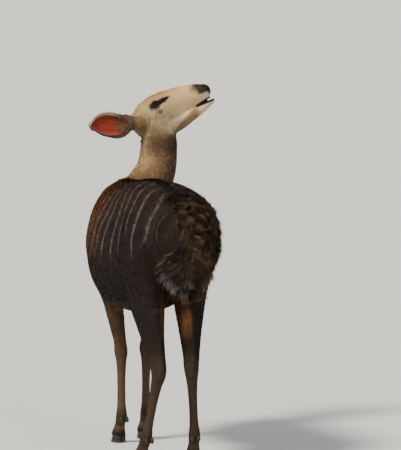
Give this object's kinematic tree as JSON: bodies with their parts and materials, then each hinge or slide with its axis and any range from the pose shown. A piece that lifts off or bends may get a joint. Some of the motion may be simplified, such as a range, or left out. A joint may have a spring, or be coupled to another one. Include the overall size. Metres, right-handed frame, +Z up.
{
  "type": "nyala antelope",
  "caption": "Life-size hornless nyala antelope standing and reaching up to browse, with its head turned to its right.",
  "frame": {"origin": "under the middle of the whole animal's box, on the floor", "axes": "+Z up, +Y the way the body faces, +X its right side"},
  "size_m": [0.5644, 1.1186, 1.237],
  "materials": {
    "body_coat": "matt short fur",
    "neck_coat": "matt short fur",
    "face_coat": "matt short fur",
    "ear_coat": "matt thin fur",
    "tail_coat": "matt long fur",
    "eye": "wet gloss",
    "horn": "satin"
  },
  "bodies": {
    "root": {"ear_left": "ear_coat", "ear_right": "ear_coat", "eye_left": "eye", "eye_right": "eye", "fore_cannon_left": "body_coat", "fore_cannon_right": "body_coat", "fore_claw_inner_left": "horn", "fore_claw_inner_right": "horn", "fore_claw_outer_left": "horn", "fore_claw_outer_right": "horn", "fore_dewclaw_inner_left": "horn", "fore_dewclaw_inner_right": "horn", "fore_dewclaw_outer_left": "horn", "fore_dewclaw_outer_right": "horn", "fore_pastern_left": "body_coat", "fore_pastern_right": "body_coat", "forearm_left": "body_coat", "forearm_right": "body_coat", "head": "face_coat", "hind_cannon_left": "body_coat", "hind_cannon_right": "body_coat", "hind_claw_inner_left": "horn", "hind_claw_inner_right": "horn", "hind_claw_outer_left": "horn", "hind_claw_outer_right": "horn", "hind_dewclaw_inner_left": "horn", "hind_dewclaw_inner_right": "horn", "hind_dewclaw_outer_left": "horn", "hind_dewclaw_outer_right": "horn", "hind_pastern_left": "body_coat", "hind_pastern_right": "body_coat", "jaw": "face_coat", "neck": "neck_coat", "tail": "tail_coat", "thigh_left": "body_coat", "thigh_right": "body_coat", "trunk": "body_coat"}
  },
  "joints": []
}
